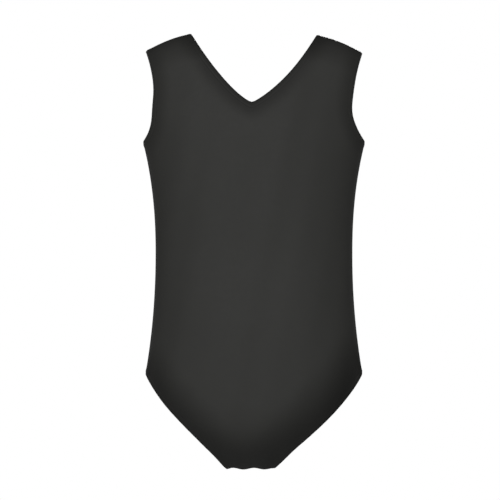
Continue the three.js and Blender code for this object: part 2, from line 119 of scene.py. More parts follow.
class LeotardSizes(bpy.types.PropertyGroup):
    """Sizes of the garment. Half widths run from the centre line, depths from the top of the shoulders"""

    body_length: length("Body length", "Shoulder seams down to the crotch seam", 0.6)
    neck_half: length("Neck half width", "Centre line to the neck end of a shoulder seam", 0.0865)
    shoulder_half: length("Shoulder half width", "Centre line to the armhole end of a shoulder seam", 0.149)
    shoulder_drop: length("Shoulder drop", "Fall of a shoulder seam towards the armhole", 0.0245)
    shoulder_bow: length("Shoulder bow", "How far a shoulder seam bows up", 0.0032)
    front_neck_depth: length("Front neck depth", "Bottom of the V", 0.095)
    back_neck_depth: length("Back neck depth", "Bottom of the scoop", 0.132)
    armhole_half: length("Armhole half width", "Half width between the armholes", 0.1365)
    armhole_depth: length("Armhole depth", "Depth of the narrowest place between them", 0.092)
    chest_half: length("Chest half width", "Half width at the underarm corners", 0.1525)
    underarm_depth: length("Underarm depth", "Depth of the underarm corners", 0.15)
    waist_half: length("Waist half width", "Half width at the waist", 0.135)
    waist_depth: length("Waist depth", "Depth of the waist", 0.305)
    hip_half: length("Hip half width", "Half width at the hip corners", 0.149)
    hip_depth: length("Hip depth", "Depth of the hip corners", 0.47)
    crotch_half: length("Crotch half width", "Half width of the crotch seam", 0.034)
    leg_bow: length("Leg bow", "How far a leg line bows out", 0.0086)
    shoulder_roll: length("Shoulder roll", "Reach of the rounding below a shoulder seam", 0.042)
    crotch_roll: length("Crotch roll", "Reach of the rounding above the crotch seam", 0.09)
    shoulder_spread: length("Shoulder spread", "Half width of the body's oval at the shoulders", 0.172)
    crotch_spread: length("Crotch spread", "Half width of the body's oval at the crotch", 0.06)
    knit: length("Knit thickness", "Thickness of the shell knit", 0.0007)
    fold: length("Fold radius", "Radius of the turned edge round its elastic", 0.0016)
    seam_round: length("Seam rounding", "Radius of the cloth where it turns into a seam", 0.0007)
    hem_width: length("Hem width", "Width of the turned edge", 0.0085)
    band_rise: length("Band rise", "How proud the hem stands of the single knit", 0.00035)
    groove: length("Stitch groove", "How deep the hem stitching pulls the knit in", 0.00045)
    pucker: length("Pucker", "Height of the gathers along an elastic", 0.00012)
    gather: length("Gather length", "Length of one gather", 0.0062)
    neck_pull: length("Neck pull", "How far the elastic pulls the front neckline in", 0.0042)
    neck_pull_reach: length("Neck pull reach", "How far from the neckline that shows", 0.030)
    arm_pull: length("Armhole pull", "How far the elastic pulls an armhole in", 0.0030)
    arm_pull_reach: length("Armhole pull reach", "How far from the armhole that shows", 0.026)
    leg_pull: length("Leg pull", "How far the elastic pulls a leg opening in", 0.0110)
    leg_pull_reach: length("Leg pull reach", "How far from the leg opening that shows", 0.052)
    leg_pull_uneven: FloatProperty(
        name="Leg pull unevenness", description="How much more the left leg opening is pulled in", default=0.25
    )
    first_row: length("First stitch row", "Edge to the first row of hem stitching", 0.0061)
    second_row: length("Second stitch row", "Edge to the second row of hem stitching", 0.0074)
    stitch: length("Stitch length", "Length of a stitch with its gap", 0.0028)
    thread: length("Thread thickness", "Thickness of the sewing thread", 0.00034)
    allowance: length("Seam allowance", "How far an overlocked allowance reaches in", 0.0074)
    allowance_thick: length("Allowance thickness", "Thickness of an overlocked allowance", 0.0013)
    lining: length("Lining thickness", "Thickness of the gusset lining", 0.0006)
    lining_depth: length("Lining depth", "How far under the outer face the lining lies", 0.0014)
    crotch_shift: length("Crotch shift", "How far the hanging crotch swings to one side", -0.0042)
    neck_shift: length("Neck shift", "How far the point of the V sits to one side", -0.003)
    shoulder_tilt: FloatProperty(
        name="Shoulder tilt", description="Fall of the shoulders per metre across", default=-0.009
    )
    shoulder_fall: length("Shoulder fall", "How far the empty shoulders sink", 0.0027)
    neck_sag: length("Neck sag", "How far the point of the V sags", 0.0036)
    neck_round: length("Neck rounding", "How blunt the point of the V is", 0.0013)
    arm_lean: length("Armhole lean", "How far both armholes swing to one side", -0.0026)
    crotch_wave: length("Crotch wave", "Height of the waves along the crotch seam", 0.0011)
    crotch_wave_length: length("Crotch wave length", "Length of one of them", 0.029)
    panel_columns: IntProperty(name="Panel columns", description="Columns of a panel's grid", default=160)
    leg_rows: IntProperty(name="Leg rows", description="Rows below the hip corners", default=64)
    side_rows: IntProperty(name="Side rows", description="Rows along the side seams", default=72)
    arm_rows: IntProperty(name="Arm rows", description="Rows above the underarms", default=90)


class LeotardColours(bpy.types.PropertyGroup):
    """Colours of the garment's materials"""

    knit: colour("Shell knit", "Charcoal nylon and elastane", (0.036, 0.036, 0.0338))
    lining: colour("Lining", "Soft black lining knit", (0.024, 0.024, 0.024))
    elastic: colour("Elastic", "Black ribbed elastic", (0.017, 0.017, 0.017))
    thread: colour("Thread", "Woolly black thread", (0.024, 0.024, 0.0235))
    tape: colour("Stay tape", "Frosted clear tape", (0.50, 0.50, 0.48))
    label: colour("Label", "Off-white satin", (0.74, 0.73, 0.69))
    floor: colour("Floor", "Plain pale floor", (0.9, 0.9, 0.9))


# ---------------------------------------------------------------- outline


def mix(a, b, share):
    """A straight line from a, at share 0, to b, at share 1."""
    return a + (b - a) * share


def ease(t):
    """Half a cosine wave: even steps of t become short ones at 0 and at 1."""
    return (1 - np.cos(math.pi * t)) / 2


def smooth(value, low, high):
    """0 below low, 1 above high, and a smooth cubic between them."""
    t = np.clip((value - low) / (high - low), 0, 1)
    return t * t * (3 - 2 * t)


def half_width(s, z):
    """Half width of the fabric at height z: a power curve between each two corners of the outline, and below the
    hip a straight line plus a cubic bow that is highest a third of the way down."""
    depth = np.minimum(-np.asarray(z, float), s.body_length)

    def share(a, b, power):
        """How far the depth is from a to b, to a power."""
        return np.clip((depth - a) / (b - a), 0, None) ** power

    down = np.clip((depth - s.hip_depth) / (s.body_length - s.hip_depth), 0, 1)
    leg = mix(s.hip_half, s.crotch_half, down) + s.leg_bow * 27 / 4 * down * (1 - down) ** 2
    return np.select(
        [depth <= s.armhole_depth, depth <= s.underarm_depth, depth <= s.waist_depth, depth <= s.hip_depth],
        [
            mix(s.armhole_half, s.shoulder_half, share(s.armhole_depth, s.shoulder_drop, 2)),
            mix(s.armhole_half, s.chest_half, share(s.armhole_depth, s.underarm_depth, 2.9)),
            mix(s.waist_half, s.chest_half, share(s.waist_depth, s.underarm_depth, 2.25)),
            mix(s.waist_half, s.hip_half, share(s.waist_depth, s.hip_depth, 2.05)),
        ],
        leg,
    )


def shoulder_line(s, x):
    """Height of the shoulder seam over x: a straight fall plus a parabola, running on straight inside the neck."""
    out = (np.abs(x) - s.neck_half) / (s.shoulder_half - s.neck_half)
    return -s.shoulder_drop * out + 4 * s.shoulder_bow * np.where(out > 0, out * (1 - out), out)


def front_neck(s, t):
    """Left half of the V: a quadratic Bezier curve from the shoulder (0) to the centre line (1)."""
    x = (1 - t) ** 2 * s.neck_half + 2 * t * (1 - t) * 0.562 * s.neck_half
    return x, -2 * t * (1 - t) * 0.719 * s.front_neck_depth - t**2 * s.front_neck_depth


def back_neck(s, t):
    """Left half of the scoop: a squared-off quarter ellipse from the shoulder (0) to the centre line (1)."""
    angle = t * math.pi / 2
    return s.neck_half * np.clip(np.cos(angle), 0, 1) ** 0.9, -s.back_neck_depth * np.sin(angle)


def arm_edge(s, t):
    """Left armhole: the outline's half width, from the shoulder (0) to the underarm (1)."""
    z = mix(-s.shoulder_drop, -s.underarm_depth, t)
    return half_width(s, z), z


def leg_edge(s, t):
    """Left leg line: the outline's half width, from the hip (0) to the crotch (1)."""
    z = mix(-s.hip_depth, -s.body_length, t)
    return half_width(s, z), z


# ---------------------------------------------------------------- the body's surface


def fullness(s, z, side):
    """Depth of the body at height z: a cubic Hermite curve through the table, with its neighbours' slope at each
    entry."""
    values = []
    for table in (FRONT_FULLNESS, BACK_FULLNESS):
        at, value = np.array(table).T
        near, far = np.r_[0, : len(at) - 1], np.r_[1 : len(at), len(at) - 1]
        slope = (value[far] - value[near]) / (at[far] - at[near])
        depth = np.clip(-z, at[0], at[-1])
        i = np.clip(np.searchsorted(at, depth) - 1, 0, len(at) - 2)
        span = at[i + 1] - at[i]
        t = (depth - at[i]) / span
        values.append(
            (2 * t**3 - 3 * t**2 + 1) * value[i]
            + (t**3 - 2 * t**2 + t) * span * slope[i]
            + (3 * t**2 - 2 * t**3) * value[i + 1]
            + (t**3 - t**2) * span * slope[i + 1]
        )
    return np.where(np.asarray(side) < 0, *values)


def oval_half(s, z):
    """Half width of the oval that the fabric follows: the side seam's own half width, run on without a kink past
    the armholes by a parabola and past the leg lines by a quarter ellipse."""
    depth = -z
    e = CORNER_STEP
    rise = (half_width(s, -s.underarm_depth - e) - half_width(s, -s.underarm_depth - 2 * e)) / e * s.underarm_depth
    hip_slope = (half_width(s, -s.hip_depth + e) - half_width(s, -s.hip_depth + 2 * e)) / e
    up = np.clip(1 - depth / s.underarm_depth, 0, None)
    above = s.chest_half + rise * up + (s.shoulder_spread - s.chest_half - rise) * up**2
    down = np.clip((depth - s.hip_depth) / (s.body_length - s.hip_depth), 0, 1)
    run_on = hip_slope * (depth - s.hip_depth) * (1 - down) ** 2
    below = mix(s.crotch_spread, s.hip_half, np.sqrt(1 - down**2)) + run_on
    return np.select([depth < s.underarm_depth, depth <= s.hip_depth], [above, half_width(s, z)], below)


def depth_squared(s, x, z, side):
    """Square of the surface's depth: the fullness squared, times one minus the share of the oval to the power 2.2,
    times two parabolas that roll it to nothing at the shoulder and crotch seams."""

    def rolled(distance, reach):
        """A parabola from 0 at the seam to 1 at its reach."""
        return 1 - (1 - np.clip(distance / reach, 0, 1)) ** 2

    oval = 1 - (np.abs(x) / oval_half(s, z)) ** 2.2
    roll = rolled(shoulder_line(s, x) - z, s.shoulder_roll) * rolled(z + s.body_length, s.crotch_roll)
    return np.clip(fullness(s, z, side) ** 2 * oval * roll, 0, None)


def drape(x, z, side):
    """Soft waves of the hanging knit: a sum of sine waves, each slanting by its two lengths."""

    def waves(table):
        """The sum of one table's sine waves."""
        return sum(h * np.sin(2 * math.pi * (x / across + z / down) + start) for h, across, down, start in table)

    return np.where(np.asarray(side) < 0, waves(FRONT_WAVES), waves(BACK_WAVES))


def on_body(s, x, z, side, rise=0.0, pull=0.0):
    """Points over (x, z) on the front (side -1) or back (side 1): the surface's point, moved by rise plus the
    drape along the surface's normal, then by pull straight towards the seam plane, and never past it."""
    x, z, side, rise, pull = np.broadcast_arrays(*(np.asarray(v, float) for v in (x, z, side, rise, pull)))
    depth = np.sqrt(depth_squared(s, x, z, side))
    limit = oval_half(s, z)
    x0, x1 = np.clip(x - STEP, -limit, limit), np.clip(x + STEP, -limit, limit)
    z0, z1 = np.maximum(z - STEP, -s.body_length), np.minimum(z + STEP, shoulder_line(s, x))
    slope_x = (depth_squared(s, x1, z, side) - depth_squared(s, x0, z, side)) / np.maximum(x1 - x0, 1e-9)
    slope_z = (depth_squared(s, x, z1, side) - depth_squared(s, x, z0, side)) / np.maximum(z1 - z0, 1e-9)
    normal = np.stack([-slope_x, side * 2 * depth, -slope_z], -1)
    normal /= np.maximum(np.linalg.norm(normal, axis=-1, keepdims=True), 1e-12)
    moved = rise + drape(x, z, side) * depth / (depth + WAVE_FADE)
    points = np.stack([x, side * depth, z], -1) + normal * moved[..., None]
    points[..., 1] = side * np.maximum(points[..., 1] * side - pull, CLOSEST)
    return points


def settle(s, points):
    """How the whole garment hangs. The shoulders tilt and drop by a smooth cubic of the height. The point of the V
    sags and swings to one side by a bell curve, and is blunted to a hyperbola. The armholes lean by a bell curve
    of the height, the crotch swings by a smooth cubic, and its seam runs in small cosine waves."""
    x, y, z = points[..., 0], points[..., 1], points[..., 2]
    low = smooth(-z, s.hip_depth, s.body_length)
    high = smooth(z, -s.underarm_depth, HIGHEST)
    front = y < 0.02
    near_v = np.exp(-(x**2 + (z + s.front_neck_depth) ** 2) / SAG_REACH**2) * front
    slope = 0.5 * s.front_neck_depth / s.neck_half  # of the V at its point
    rounded = np.hypot(slope * x, s.neck_round) - slope * np.abs(x)
    rounded = rounded * np.exp(-np.abs(z + s.front_neck_depth) / ROUND_REACH) * front
    at_arms = np.exp(-(((z + LEAN_AT) / LEAN_REACH) ** 2)) * smooth(np.abs(x), *LEAN_FROM)
    at_crotch = np.exp(-np.clip(z + s.body_length, 0, None) / WAVE_REACH)
    wave = s.crotch_wave * np.cos(2 * math.pi * (x + WAVE_CREST - s.crotch_shift) / s.crotch_wave_length)
    across = s.crotch_shift * low + s.neck_shift * near_v + s.arm_lean * at_arms
    along = wave * at_crotch + (s.shoulder_tilt * x - s.shoulder_fall) * high - s.neck_sag * near_v + rounded
    return points + np.stack([across, 0 * y, along], -1)


# ---------------------------------------------------------------- free edges


def seam_run(s, seam, d):
    """(x, z) at a distance d from the end of a free edge, straight along the seam or centre line it ends on."""
    from_neck, from_arm = s.neck_half + d, s.shoulder_half - d
    from_underarm, from_hip = -s.underarm_depth - d, -s.hip_depth + d
    return {
        "shoulder_at_neck": (from_neck, shoulder_line(s, from_neck)),
        "shoulder_at_arm": (from_arm, shoulder_line(s, from_arm)),
        "side_at_arm": (half_width(s, from_underarm), from_underarm),
        "side_at_leg": (half_width(s, from_hip), from_hip),
        "crotch": (s.crotch_half - d, 0 * d - s.body_length),
        "front_centre": (0 * d, -s.front_neck_depth - d),
        "back_centre": (0 * d, -s.back_neck_depth - d),
    }[seam]


def half_edge(s, name, reach, steps):
    """(x, z) of a grid beside one half of a free edge, on the left: rows of stations along it, columns at the
    distances in reach. A distance runs square to the edge, and turns to run along the seam at either end."""
    curve, seams = {
        "front_neck": (front_neck, ("shoulder_at_neck", "front_centre")),
        "back_neck": (back_neck, ("shoulder_at_neck", "back_centre")),
        "armhole": (arm_edge, ("shoulder_at_arm", "side_at_arm")),
        "leg": (leg_edge, ("side_at_leg", "crotch")),
    }[name]
    even = np.linspace(0, 1, steps)
    t = mix(ease(even), even, 0.35)
    before, after = np.maximum(t - EDGE_STEP, 0), np.minimum(t + EDGE_STEP, 1)
    at = np.stack(curve(s, t), -1)
    ahead = np.stack(curve(s, after), -1) - np.stack(curve(s, before), -1)
    ahead /= np.linalg.norm(ahead, axis=-1, keepdims=True)
    turned = np.stack([-ahead[:, 1], ahead[:, 0]], -1)
    across = None
    for end, seam in zip((0, -1), seams):
        run = np.stack(seam_run(s, seam, s.hem_width), -1) - np.stack(seam_run(s, seam, 0.0), -1)
        run /= np.linalg.norm(run)
        turn = float(np.cross(ahead[end], run))
        if across is None:
            across = turned * math.copysign(1, turn)
        share = np.clip(1 - np.linalg.norm(at - at[end], axis=-1) / (2 * s.hem_width), 0, 1)[:, None]
        across = mix(across, run / abs(turn), share)
    grid = at[:, None] + across[:, None] * np.asarray(reach)[None, :, None]
    for end, seam in zip((0, -1), seams):
        grid[end] = np.stack(seam_run(s, seam, np.asarray(reach) * np.linalg.norm(across[end])), -1)
    return grid[..., 0], grid[..., 1]


LOOPS = ("neck", "left_armhole", "right_armhole", "left_leg", "right_leg")


def loop(s, name, reach, steps=150):
    """(x, z, side) of the grid beside a whole free edge, once round: down its front half and back up its back."""
    reach = np.atleast_1d(np.asarray(reach, float))
    halves = []
    if name == "neck":
        for half, side in (("front_neck", FRONT), ("back_neck", BACK)):
            x, z = half_edge(s, half, reach, steps)
            x, z = np.concatenate([x, -x[-2::-1]]), np.concatenate([z, z[-2::-1]])
            halves.append((x, z, side) if side == FRONT else (-x[1:-1], z[1:-1], side))
    else:
        x, z = half_edge(s, name.split("_")[1], reach, steps)
        x = x if name.startswith("left") else -x
        halves = [(x, z, FRONT), (x[-2:0:-1], z[-2:0:-1], BACK)]
    x, z = (np.concatenate([h[i] for h in halves]) for i in (0, 1))
    side = np.concatenate([np.full(h[0].shape, h[2]) for h in halves])
    return x, z, side


def lengths(points):
    """Distance along a line of points, starting at 0."""
    return np.r_[0, np.cumsum(np.linalg.norm(np.diff(points, axis=0), axis=1))]


def edge_line(s, name):
    """The very edge of an opening, closed: its points, the distance along it, and which side each is on."""
    x, z, side = loop(s, name, 0.0)
    x, z, side = (np.concatenate([v, v[:1]])[:, 0] for v in (x, z, side))
    points = on_body(s, x, z, side)
    return points, lengths(points), side


def arc_of(s, name):
    """Distance along the edge of an opening, at each of its stations and back at the first."""
    return edge_line(s, name)[1]


def gathers(s, arc):
    """Gathers along an elastic: a sine wave whose length drifts slowly."""
    drift = 0.7 * np.sin(arc / 0.031) + 0.5 * np.sin(arc / 0.013 + 1)
    return s.pucker * np.sin(2 * math.pi * arc / s.gather + drift)


def edge_pull(s, name, x, z, side, distance):
    """How far an opening's elastic pulls the knit in: the square of the share of its reach that is left, fading
    to nothing where the surface meets a seam. The back neck isn't pulled, and the left leg is pulled more."""
    fade = smooth(np.sqrt(depth_squared(s, x, z, side)), *SEAM_FADE)
    if name == "neck":
        pull, reach, fade = s.neck_pull, s.neck_pull_reach, fade * (np.asarray(side) < 0)
    elif name.endswith("armhole"):
        pull, reach = s.arm_pull, s.arm_pull_reach
    else:
        more = s.leg_pull_uneven * smooth(x, -0.01, 0.05)
        pull, reach = s.leg_pull * (1 + more), s.leg_pull_reach * (1 + more)
    return pull * np.clip(1 - distance / reach, 0, 1) ** 2 * fade


def groove(s, distance):
    """Depth of the groove over the hem stitching: a bell curve about the middle of its two rows."""
    middle = (s.first_row + s.second_row) / 2
    return s.groove * np.exp(-(((distance - middle) / GROOVE_SPREAD) ** 2))


def band_rise(s, distance, arc):
    """Height of the outer face beside a free edge: the hem's rise, the stitching's groove as a bell curve, and
    the elastic's gathers, fading out past the hem."""
    hem = 1 - smooth(distance, s.hem_width + BAND_END[0], s.hem_width + BAND_END[1])
    fade = 1 - smooth(distance, *GATHER_END)
    return s.band_rise * hem - groove(s, distance) + gathers(s, arc) * fade


def quarter_round(distance, radius):
    """Drop of a quarter circle's edge at a distance from its end."""
    inside = np.clip(radius - distance, 0, radius)
    return radius - np.sqrt(np.clip(radius**2 - inside**2, 0, None))


# ---------------------------------------------------------------- meshes


def quads(index):
    """Quads between neighbours of a grid of indices."""
    return np.stack([index[:-1, :-1], index[:-1, 1:], index[1:, 1:], index[1:, :-1]], -1).reshape(-1, 4)


def make_mesh(name, points, faces, uv_faces, uv):
    """A mesh from whole arrays. It is turned inside out if its signed volume is negative."""
    a, b, c, d = (points[faces[:, i]] for i in range(4))
    volume = np.einsum("ij,ij->", a, np.cross(b, c)) + np.einsum("ij,ij->", a, np.cross(c, d))
    if volume < 0:
        faces, uv_faces = faces[:, ::-1], uv_faces[:, ::-1]
    mesh = bpy.data.meshes.new(name)
    mesh.vertices.add(len(points))
    mesh.vertices.foreach_set("co", points.astype(np.float32).ravel())
    mesh.loops.add(faces.size)
    mesh.loops.foreach_set("vertex_index", faces.astype(np.int32).ravel())
    mesh.polygons.add(len(faces))
    mesh.polygons.foreach_set("loop_start", np.arange(0, faces.size, 4, dtype=np.int32))
    mesh.polygons.foreach_set("use_smooth", np.ones(len(faces), bool))
    layer = mesh.uv_layers.new(name="cloth")
    layer.data.foreach_set("uv", uv[uv_faces.ravel()].astype(np.float32).ravel())
    mesh.update(calc_edges=True)
    if mesh.validate():
        raise RuntimeError(f"{name}: the mesh had faults")
    return mesh


def tell(mesh, painted_shade):
    """Writes on each point of a mesh its painted shade: how much the knit's colour is darkened there, near the
    free edges and the crotch.
    """
    layer = mesh.attributes.new("painted_shade", "FLOAT", "POINT")
    layer.data.foreach_set("value", np.asarray(painted_shade, np.float32).ravel())


def sew_on(context, mesh, slot, body="garment", replaces=()):
    """Puts a finished mesh in the scene, in its slot's material and on its body."""
    obj = bpy.data.objects.new(mesh.name, mesh)
    context.scene.collection.objects.link(obj)
    mesh.materials.append(materials(context)[f"cloth_{slot}"])
    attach(obj, body)
    if replaces:
        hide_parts(*replaces)
    return obj


def grid_normals(grid):
    """Unit normals of a grid of points: the cross product of its two directions."""
    normal = np.cross(np.gradient(grid, axis=1), np.gradient(grid, axis=0))
    return normal / np.maximum(np.linalg.norm(normal, axis=-1, keepdims=True), 1e-12)


def cloth_uv(grid):
    """Lengths over the cloth in metres: across from the middle column, and up from the first row."""
    across = np.linalg.norm(np.diff(grid, axis=1), axis=-1).cumsum(1)
    across = np.pad(across, ((0, 0), (1, 0)))
    across -= across[:, across.shape[1] // 2][:, None]
    up = np.pad(np.linalg.norm(np.diff(grid, axis=0), axis=-1).cumsum(0), ((1, 0), (0, 0)))
    return np.stack([across, up], -1).reshape(-1, 2)


def shell(name, outer, thickness):
    """A closed sheet of cloth: a grid of outer points, the same grid moved in along its normals, and a rim."""
    rows, columns = outer.shape[:2]
    inner = outer + grid_normals(outer) * thickness
    count = rows * columns
    index = np.arange(count).reshape(rows, columns)
    rim = np.r_[index[0], index[1:, -1], index[-1, -2::-1], index[-2:0:-1, 0]]
    border = np.stack([rim, np.roll(rim, -1)], 0)
    walls = np.stack([border[1], border[0], border[0] + count, border[1] + count], -1)
    faces = np.concatenate([quads(index), quads(index + count)[:, ::-1], walls])
    uv = cloth_uv(outer)
    points = np.concatenate([outer.reshape(-1, 3), inner.reshape(-1, 3)])
    return make_mesh(name, points, faces, faces, np.concatenate([uv, uv]))


def ring(name, grid):
    """A closed band: grid rows run once round the loop, and its columns once round the section."""
    rows, columns = grid.shape[:2]
    index = np.pad(np.arange(rows * columns).reshape(rows, columns), ((0, 1), (0, 1)), mode="wrap")
    uv_index = np.arange((rows + 1) * (columns + 1)).reshape(rows + 1, columns + 1)
    closed = np.pad(grid, ((0, 1), (0, 1), (0, 0)), mode="wrap")
    along = np.pad(np.linalg.norm(np.diff(closed, axis=0), axis=-1).cumsum(0), ((1, 0), (0, 0)))
    round_it = np.pad(np.linalg.norm(np.diff(closed, axis=1), axis=-1).cumsum(1), ((0, 0), (1, 0)))
    uv = np.stack([round_it, along], -1).reshape(-1, 2)
    return make_mesh(name, grid.reshape(-1, 3), quads(index), quads(uv_index), uv)


def bar(name, grid):
    """A band with two ends: grid rows run along it, columns once round the section, and both ends are filled in
    to the section's middle."""
    rows, columns = grid.shape[:2]
    ends = np.stack([np.broadcast_to(grid[i].mean(0), (columns, 3)) for i in (0, -1)])
    full = np.concatenate([ends[:1], grid, ends[1:]])
    index = np.arange(full.shape[0] * columns).reshape(-1, columns)
    index = np.pad(index, ((0, 0), (0, 1)), mode="wrap")
    uv = np.stack(np.meshgrid(np.linspace(0, 0.02, columns), np.arange(len(full)) * 0.001), -1).reshape(-1, 2)
    return make_mesh(name, full.reshape(-1, 3), quads(index), quads(index), uv)


CAPSULE_SIDES = 6
CAPSULE_RINGS = ((-0.5, 0.3), (-0.4, 0.9), (0.4, 0.9), (0.5, 0.3))


def stitches(name, start, end, lift, radius):
    """Many short threads in one mesh. Each runs from its start to its end as a low six-sided capsule that lies on
    the cloth, with its two ends bent down into it."""
    along = end - start
    size = np.linalg.norm(along, axis=-1, keepdims=True)
    along = along / size
    aside = np.cross(along, lift)
    aside /= np.linalg.norm(aside, axis=-1, keepdims=True)
    up = np.cross(aside, along)
    angle = np.arange(CAPSULE_SIDES) * 2 * math.pi / CAPSULE_SIDES
    at, width = np.array(CAPSULE_RINGS).T
    centre = ((start + end) / 2)[:, None] + along[:, None] * (at[None, :, None] * size[:, None])
    centre = centre - up[:, None] * (np.where(np.abs(at) > 0.45, 1.2, 0.0) * radius)[None, :, None]
    spoke = np.cos(angle)[:, None] * aside[:, None] + np.sin(angle)[:, None] * up[:, None]
    points = centre[:, :, None] + spoke[:, None] * (width * radius)[None, :, None, None]
    one = np.arange(len(at) * CAPSULE_SIDES).reshape(len(at), CAPSULE_SIDES)
    walls = quads(np.pad(one, ((0, 0), (0, 1)), mode="wrap"))
    caps = np.array([one[0][[3, 2, 1, 0]], one[0][[5, 4, 3, 0]], one[-1][[0, 1, 2, 3]], one[-1][[0, 3, 4, 5]]])
    faces = np.concatenate([walls, caps])
    faces = (faces[None] + (np.arange(len(start)) * one.size)[:, None, None]).reshape(-1, 4)
    uv = np.stack(np.meshgrid(angle * radius, at * 0.002), -1).reshape(-1, 2)
    return make_mesh(name, points.reshape(-1, 3), faces, faces, np.tile(uv, (len(start), 1)))


def spaced(line, spacing, closed=False):
    """Evenly spaced distances along a line, a whole number of them, and the line's own distances."""
    arc = lengths(line)
    count = max(2, round(arc[-1] / spacing))
    return arc, np.linspace(0, arc[-1], count, endpoint=not closed)


def at_distance(line, arc, wanted):
    """Points of a line at distances along it."""
    return np.stack([np.interp(wanted, arc, line[:, i]) for i in range(3)], -1)


# ---------------------------------------------------------------- materials


def new_material(name, colour, roughness, sheen=0.0, specular=0.3, coat=0.0):
    """A material with its even values set on the shader's own sockets."""
    material = bpy.data.materials.new(name)
    material.use_nodes = True
    shader = material.node_tree.nodes["Principled BSDF"]
    shader.inputs["Base Color"].default_value = (*colour, 1)
    shader.inputs["Roughness"].default_value = roughness
    shader.inputs["Sheen Weight"].default_value = sheen
    shader.inputs["Specular IOR Level"].default_value = specular
    shader.inputs["Coat Weight"].default_value = coat
    return material


def knitted(name, colour, wale, course, depth, cloudy, roughness, shade_darkening=0.0, **look):
    """A knit: rows of small loops from two crossing waves, a cloudy tint and a cloudy roughness. It reads the
    cloth's own lengths, so a loop has its real size everywhere. Where the mesh carries painted shade, near the
    free edges and the crotch, its colour is darker."""
    material = new_material(name, colour, roughness, **look)
    nodes, links = material.node_tree.nodes, material.node_tree.links
    shader = nodes["Principled BSDF"]
    uv = nodes.new("ShaderNodeUVMap")
    uv.uv_map = "cloth"

    def wave(turn, length):
        """Sine bands of one length over the cloth's lengths, turned by an angle."""
        place = nodes.new("ShaderNodeMapping")
        place.inputs["Rotation"].default_value = (0, 0, turn)
        texture = nodes.new("ShaderNodeTexWave")
        texture.wave_profile = "SIN"
        texture.inputs["Scale"].default_value = math.pi / 10 / length
        links.new(uv.outputs["UV"], place.inputs["Vector"])
        links.new(place.outputs["Vector"], texture.inputs["Vector"])
        return texture.outputs["Fac"]

    def cloud(scale, detail):
        """Noise over the cloth's lengths."""
        texture = nodes.new("ShaderNodeTexNoise")
        texture.inputs["Scale"].default_value = scale
        texture.inputs["Detail"].default_value = detail
        links.new(uv.outputs["UV"], texture.inputs["Vector"])
        return texture.outputs["Fac"]

    def maths(operation, a, b):
        """One step of arithmetic on two numbers or sockets."""
        node = nodes.new("ShaderNodeMath")
        node.operation = operation
        for socket, value in zip(node.inputs, (a, b)):
            if isinstance(value, (int, float)):
                socket.default_value = value
            else:
                links.new(value, socket)
        return node.outputs[0]

    across_cloth, along_cloth = wave(0, wale), wave(math.pi / 2, course)
    loops = maths("ADD", maths("MULTIPLY", across_cloth, 0.65), maths("MULTIPLY", along_cloth, 0.35))
    fuzz = cloud(1400, 2)
    height = maths("ADD", loops, maths("MULTIPLY", fuzz, 0.5))
    bump = nodes.new("ShaderNodeBump")
    bump.inputs["Strength"].default_value = 0.35
    bump.inputs["Distance"].default_value = depth
    links.new(height, bump.inputs["Height"])
    links.new(bump.outputs["Normal"], shader.inputs["Normal"])

    ramp = nodes.new("ShaderNodeMapRange")
    ramp.inputs["To Min"].default_value = 1 - cloudy
    ramp.inputs["To Max"].default_value = 1 + cloudy
    patches = maths("ADD", maths("MULTIPLY", cloud(42, 4), 0.6), maths("MULTIPLY", fuzz, 0.4))
    links.new(patches, ramp.inputs["Value"])
    # painted shade: the mesh's attribute darkens the base colour near the free edges and the crotch
    gather = nodes.new("ShaderNodeAttribute")
    gather.attribute_name = "painted_shade"
    shade = maths("SUBTRACT", 1.0, maths("MULTIPLY", gather.outputs["Fac"], shade_darkening))
    tint = nodes.new("ShaderNodeVectorMath")
    tint.operation = "SCALE"
    tint.inputs[0].default_value = colour
    links.new(maths("MULTIPLY", ramp.outputs["Result"], shade), tint.inputs["Scale"])
    links.new(tint.outputs["Vector"], shader.inputs["Base Color"])
    rough = nodes.new("ShaderNodeMapRange")
    rough.inputs["To Min"].default_value = roughness - 0.05
    rough.inputs["To Max"].default_value = roughness + 0.05
    links.new(cloud(160, 3), rough.inputs["Value"])
    links.new(rough.outputs["Result"], shader.inputs["Roughness"])
    return material


def materials(context):
    """The garment's materials by slot, made once."""
    colours = context.scene.leotard_colours
    made = bpy.data.materials
    if "cloth_shell_knit" not in made:
        # the shell knit carries painted shade, darkened by up to half near the free edges and the crotch
        knitted("cloth_shell_knit", colours.knit, 0.0007, 0.0009, 0.00012, 0.06, 0.62, shade_darkening=0.5, specular=0.12)
        knitted("cloth_lining_knit", colours.lining, 0.0009, 0.0011, 0.00012, 0.08, 0.85, sheen=0.08, specular=0.2)
        knitted("cloth_edge_elastic", colours.elastic, 0.0010, 0.0006, 0.0002, 0.08, 0.7)
        knitted("cloth_thread", colours.thread, 0.0003, 0.0005, 0.0001, 0.12, 0.75, sheen=0.1)
        knitted("cloth_stay_tape", colours.tape, 0.0012, 0.0012, 0.0001, 0.03, 0.35, specular=0.5, coat=0.2)
        knitted("cloth_label_satin", colours.label, 0.0003, 0.0006, 0.00005, 0.03, 0.5, sheen=0.1, specular=0.45)
    return made


# ---------------------------------------------------------------- the garment's pieces


def nearest_on(points, line, arc):
    """Distance of points from a line, and where along it: the nearest station first, then the nearer of the two
    straight pieces beside it."""
    best, where = np.empty(len(points)), np.empty(len(points))
    for first in range(0, len(points), 4000):
        some = points[first : first + 4000]
        gap = ((some[:, None] - line[None]) ** 2).sum(-1)
        i = gap.argmin(1)
        found = []
        for j in (np.maximum(i - 1, 0), np.minimum(i, len(line) - 2)):
            a, ab = line[j], line[j + 1] - line[j]
            t = np.clip(((some - a) * ab).sum(-1) / np.maximum((ab**2).sum(-1), 1e-18), 0, 1)
            found.append((np.linalg.norm(some - a - t[:, None] * ab, axis=-1), mix(arc[j], arc[j + 1], t)))
        nearer = found[0][0] <= found[1][0]
        best[first : first + 4000] = np.where(nearer, found[0][0], found[1][0])
        where[first : first + 4000] = np.where(nearer, found[0][1], found[1][1])
    return best, where


